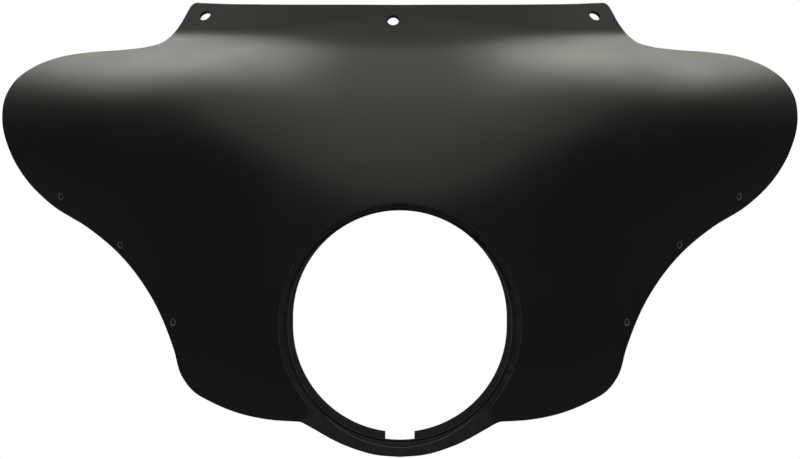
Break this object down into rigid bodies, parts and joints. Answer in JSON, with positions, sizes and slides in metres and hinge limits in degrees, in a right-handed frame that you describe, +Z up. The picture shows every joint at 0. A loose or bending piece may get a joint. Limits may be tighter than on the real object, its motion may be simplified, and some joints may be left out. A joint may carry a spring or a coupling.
{
  "type": "motorcycle fairing",
  "caption": "Swept front fairing shell with a round stepped headlamp recess, a leaning windscreen flange, lower lobes and a chin strip, open at the back.",
  "frame": {"origin": "centre of the headlamp seat's floor", "axes": "-Y out of the front along the headlamp axis, +Z up, +X to the right as seen from the front"},
  "size_m": [0.822, 0.2448, 0.4655],
  "materials": {
    "moulded_abs": "matt moulded black"
  },
  "bodies": {
    "root": {"fairing_shell": "moulded_abs"}
  },
  "joints": []
}
